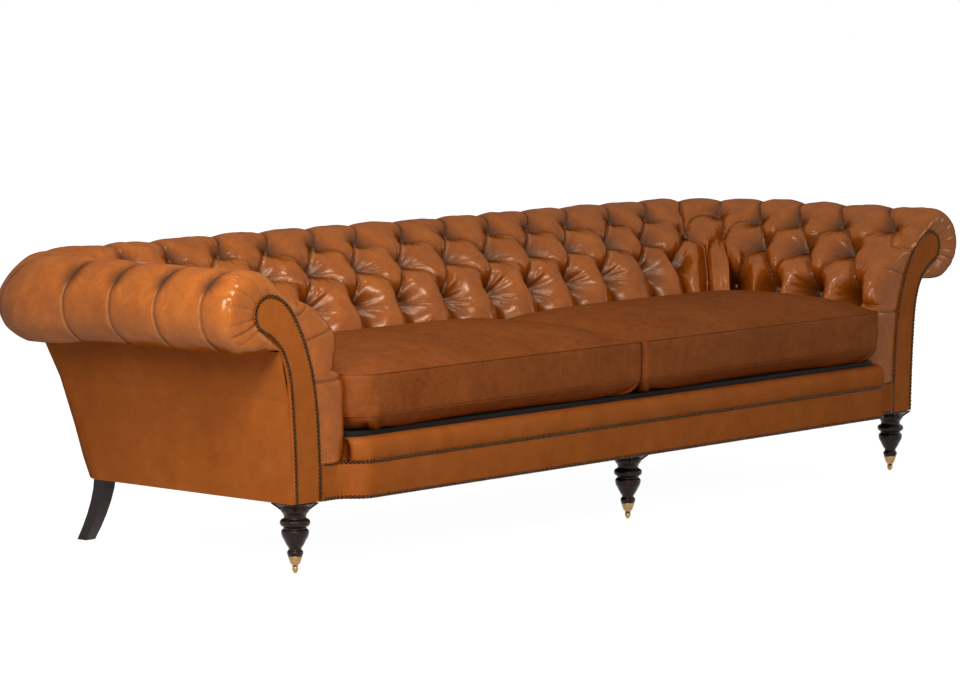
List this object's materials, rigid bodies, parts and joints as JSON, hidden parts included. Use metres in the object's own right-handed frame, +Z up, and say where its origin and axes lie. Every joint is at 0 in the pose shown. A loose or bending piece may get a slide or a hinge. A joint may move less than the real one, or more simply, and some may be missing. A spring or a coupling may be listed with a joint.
{
  "type": "chesterfield sofa",
  "caption": "Long chesterfield sofa in tan leather: deep buttoned scroll arms and back at one height, loose seat cushions, nailed facings, turned front legs on brass castors.",
  "frame": {"origin": "middle of the footprint on the floor", "axes": "+X along the seat towards the right arm as the sofa faces its viewer, +Y from the seat's front to its back, +Z up"},
  "size_m": [2.8892, 0.9816, 0.7158],
  "materials": {
    "leather": "glossy aniline tan leather over deep buttoned padding",
    "cushion_leather": "satin aniline tan leather with a soft crown",
    "antique_nails": "antiqued dark brass",
    "castor_brass": "polished brass",
    "leg_wood": "dark polished mahogany",
    "spring_steel": "plain drawn wire",
    "deck_cloth": "brown deck cloth over felt",
    "dust_cloth": "black non-woven cloth",
    "frame_timber": "bare sawn hardwood"
  },
  "bodies": {
    "base": {"back_outside": "leather", "back_seat_rail": "frame_timber", "back_stuffing_rail": "frame_timber", "back_top_rail": "frame_timber", "back_tufted_pad": "leather", "centre_back_upright": "frame_timber", "centre_castor_cup": "castor_brass", "centre_cross_rail": "frame_timber", "centre_front_leg": "leg_wood", "dust_cover": "dust_cloth", "front_border": "leather", "front_seat_rail": "frame_timber", "left_arm_board": "frame_timber", "left_arm_facing": "leather", "left_arm_outside": "leather", "left_arm_stuffing_rail": "frame_timber", "left_arm_tufted_pad": "leather", "left_back_post": "frame_timber", "left_castor_cup": "castor_brass", "left_facing_nails": "antique_nails", "left_front_leg": "leg_wood", "left_front_post": "frame_timber", "left_rear_leg": "leg_wood", "left_side_rail": "frame_timber", "lower_front_nails": "antique_nails", "right_arm_board": "frame_timber", "right_arm_facing": "leather", "right_arm_outside": "leather", "right_arm_stuffing_rail": "frame_timber", "right_arm_tufted_pad": "leather", "right_back_post": "frame_timber", "right_castor_cup": "castor_brass", "right_facing_nails": "antique_nails", "right_front_leg": "leg_wood", "right_front_post": "frame_timber", "right_rear_leg": "leg_wood", "right_side_rail": "frame_timber", "seat_deck": "deck_cloth", "seat_lip": "leather", "seat_spring_1": "spring_steel", "seat_spring_2": "spring_steel", "seat_spring_3": "spring_steel", "seat_spring_4": "spring_steel", "seat_spring_5": "spring_steel", "seat_spring_6": "spring_steel", "seat_spring_7": "spring_steel", "seat_spring_8": "spring_steel", "upper_front_nails": "antique_nails"},
    "left_cushion": {"left_seat_cushion": "cushion_leather"},
    "right_cushion": {"right_seat_cushion": "cushion_leather"},
    "left_swivel": {"left_castor_fork": "castor_brass", "left_castor_axle": "castor_brass"},
    "left_wheel": {"left_castor_wheel": "castor_brass"},
    "centre_swivel": {"centre_castor_fork": "castor_brass", "centre_castor_axle": "castor_brass"},
    "centre_wheel": {"centre_castor_wheel": "castor_brass"},
    "right_swivel": {"right_castor_fork": "castor_brass", "right_castor_axle": "castor_brass"},
    "right_wheel": {"right_castor_wheel": "castor_brass"}
  },
  "joints": [
    {"name": "left_cushion_lift", "type": "slide", "parent": "base", "child": "left_cushion", "axis": [0, 0, 1], "range_m": [0, 0.4]},
    {"name": "right_cushion_lift", "type": "slide", "parent": "base", "child": "right_cushion", "axis": [0, 0, 1], "range_m": [0, 0.4]},
    {"name": "left_castor_swivel", "type": "hinge", "parent": "base", "child": "left_swivel", "pos_m": [-1.178, -0.401, 0.022], "axis": [0, 0, 1], "continuous": true},
    {"name": "left_castor_roll", "type": "hinge", "parent": "left_swivel", "child": "left_wheel", "pos_m": [-1.17588, -0.39888, 0.0095], "axis": [-0.7071, 0.7071, 0], "continuous": true},
    {"name": "centre_castor_swivel", "type": "hinge", "parent": "base", "child": "centre_swivel", "pos_m": [0, -0.432, 0.022], "axis": [0, 0, 1], "continuous": true},
    {"name": "centre_castor_roll", "type": "hinge", "parent": "centre_swivel", "child": "centre_wheel", "pos_m": [0.00212, -0.42988, 0.0095], "axis": [-0.7071, 0.7071, 0], "continuous": true},
    {"name": "right_castor_swivel", "type": "hinge", "parent": "base", "child": "right_swivel", "pos_m": [1.178, -0.401, 0.022], "axis": [0, 0, 1], "continuous": true},
    {"name": "right_castor_roll", "type": "hinge", "parent": "right_swivel", "child": "right_wheel", "pos_m": [1.18012, -0.39888, 0.0095], "axis": [-0.7071, 0.7071, 0], "continuous": true}
  ]
}
